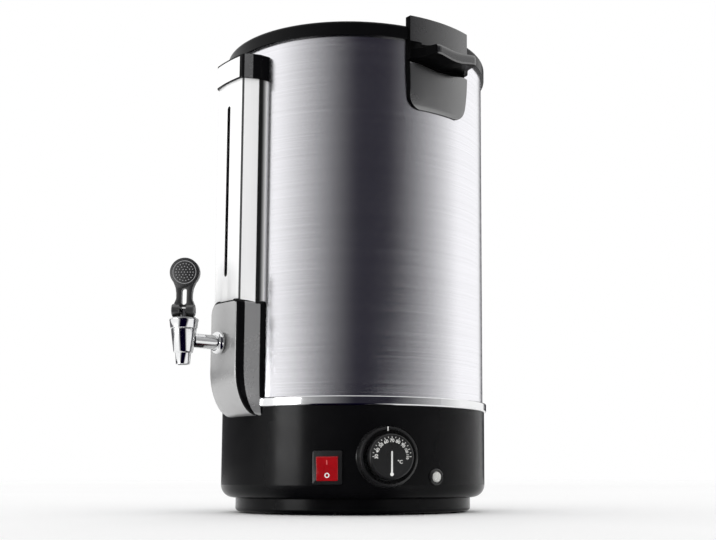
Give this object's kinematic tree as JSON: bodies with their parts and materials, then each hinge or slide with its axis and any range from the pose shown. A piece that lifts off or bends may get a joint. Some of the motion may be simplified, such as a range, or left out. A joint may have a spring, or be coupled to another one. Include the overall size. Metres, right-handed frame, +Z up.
{
  "type": "hot water urn",
  "caption": "Electric hot water urn with a double-walled steel body, black base with dial and rocker switch, sight gauge, lever tap, wavy side handles and lift-off lid.",
  "frame": {"origin": "centre of the base on the table, on the axis of the round body", "axes": "+Z up the body's axis; -Y outward through the sight gauge and the tap; handles at +X and -X"},
  "size_m": [0.308, 0.3312, 0.483],
  "materials": {
    "gloss_black": "glossy moulded black",
    "satin_grey": "satin grey face paint on black moulding",
    "satin_black": "satin moulded black",
    "rubber": "soft black rubber",
    "brushed_steel": "fine brushing round the body",
    "polished_steel": "polished",
    "steel_hardware": "plain stainless hardware",
    "gauge_glass": "clear",
    "silicone": "translucent white silicone",
    "heater_plate": "cast, dull",
    "ceramic": "cream heat-proof moulding",
    "phenolic": "dark brown heat-proof moulding",
    "copper": "bare copper",
    "brass": "bright brass tabs",
    "rocker_red": "glossy translucent red",
    "lamp_lens": "milky lens"
  },
  "bodies": {
    "urn": {"base_housing": "gloss_black", "base_pan": "gloss_black", "rubber_feet": "rubber", "base_screws": "steel_hardware", "trim_band": "polished_steel", "outer_jacket": "brushed_steel", "inner_tank": "brushed_steel", "top_collar": "gloss_black", "handle_right": "satin_black", "handle_left": "satin_black", "handle_screws": "steel_hardware", "gauge_rail": "satin_black", "gauge_cover": "brushed_steel", "gauge_cap": "gloss_black", "cap_plate": "brushed_steel", "gauge_glass": "gauge_glass", "gauge_seals": "silicone", "gauge_elbow": "steel_hardware", "tap_bracket": "satin_grey", "tap_shank": "steel_hardware", "tap_washers": "silicone", "tap_tank_nuts": "steel_hardware", "tap_spacer": "satin_black", "tap_nut": "satin_black", "tap_ring": "polished_steel", "tap_body": "polished_steel", "tap_bonnet": "polished_steel", "tap_spring": "steel_hardware", "heater_plate": "heater_plate", "heating_element": "steel_hardware", "thermostat_body": "ceramic", "thermostat_bulb": "copper", "thermal_cutout": "phenolic", "terminal_block": "ceramic", "dial_bezel": "satin_black", "switch_frame": "satin_black", "switch_terminals": "brass", "lamp_bezel": "satin_black", "lamp_lens": "lamp_lens", "power_inlet": "satin_black", "inlet_pins": "steel_hardware", "inlet_screws": "steel_hardware"},
    "tap_swivel": {"tap_glide": "satin_black"},
    "tap_stem": {"tap_stem": "steel_hardware", "tap_pin": "steel_hardware", "tap_seat_cup": "silicone"},
    "tap_lever": {"tap_lever": "satin_black"},
    "dial": {"thermostat_knob": "satin_black", "thermostat_shaft": "steel_hardware"},
    "rocker": {"switch_rocker": "rocker_red"},
    "lid": {"lid_shell": "brushed_steel", "lid_knob": "satin_black", "lid_knob_screw": "steel_hardware"}
  },
  "joints": [
    {"name": "tap_swivel", "type": "hinge", "parent": "urn", "child": "tap_swivel", "pos_m": [0, -0.187, 0.1716], "axis": [0, 0, 1], "range_deg": [-180, 180]},
    {"name": "tap_stem_lift", "type": "slide", "parent": "tap_swivel", "child": "tap_stem", "axis": [0, 0, 1], "range_m": [0, 0.0024], "deforming": ["tap_spring"]},
    {"name": "tap_lever_tilt", "type": "hinge", "parent": "tap_stem", "child": "tap_lever", "pos_m": [0, -0.187, 0.1786], "axis": [0.6428, 0.766, 0], "range_deg": [0, 45]},
    {"name": "dial_turn", "type": "hinge", "parent": "urn", "child": "dial", "pos_m": [0.11647, -0.05064, 0.0508], "axis": [0.9171, -0.3987, 0], "range_deg": [-90, 90]},
    {"name": "switch_rock", "type": "hinge", "parent": "urn", "child": "rocker", "pos_m": [0.08252, -0.08849, 0.0415], "axis": [-0.7314, -0.682, 0], "range_deg": [0, 14]},
    {"name": "lid_lift", "type": "slide", "parent": "urn", "child": "lid", "axis": [0, 0, 1], "range_m": [0, 0.06]}
  ],
  "couplings": [
    {"joint": "tap_stem_lift", "follows": "tap_lever_tilt", "m_per_rad": 0.003}
  ]
}
